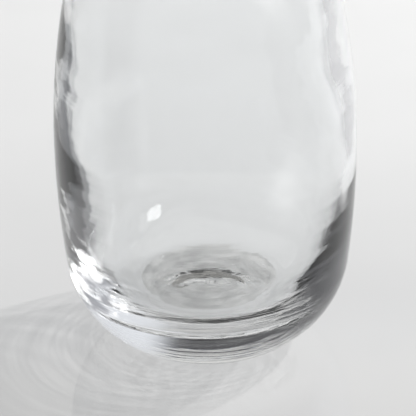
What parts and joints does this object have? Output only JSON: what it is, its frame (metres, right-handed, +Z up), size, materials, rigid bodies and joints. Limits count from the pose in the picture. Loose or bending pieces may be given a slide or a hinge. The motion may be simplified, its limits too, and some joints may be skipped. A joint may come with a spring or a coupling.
{
  "type": "mixing glass",
  "caption": "Barrel-shaped, thick-based mixing glass for stirring drinks, with a waisted neck, a flared rim and a pouring lip.",
  "frame": {"origin": "on the glass's axis, in the plane of the contact ring that it stands on", "axes": "+Z up along the glass's axis, +X towards the pouring lip"},
  "size_m": [0.0938, 0.09, 0.146],
  "materials": {
    "clear_glass": "clear, smooth, fire-polished blown glass with faint turning lines"
  },
  "bodies": {
    "root": {"glass_body": "clear_glass"}
  },
  "joints": []
}
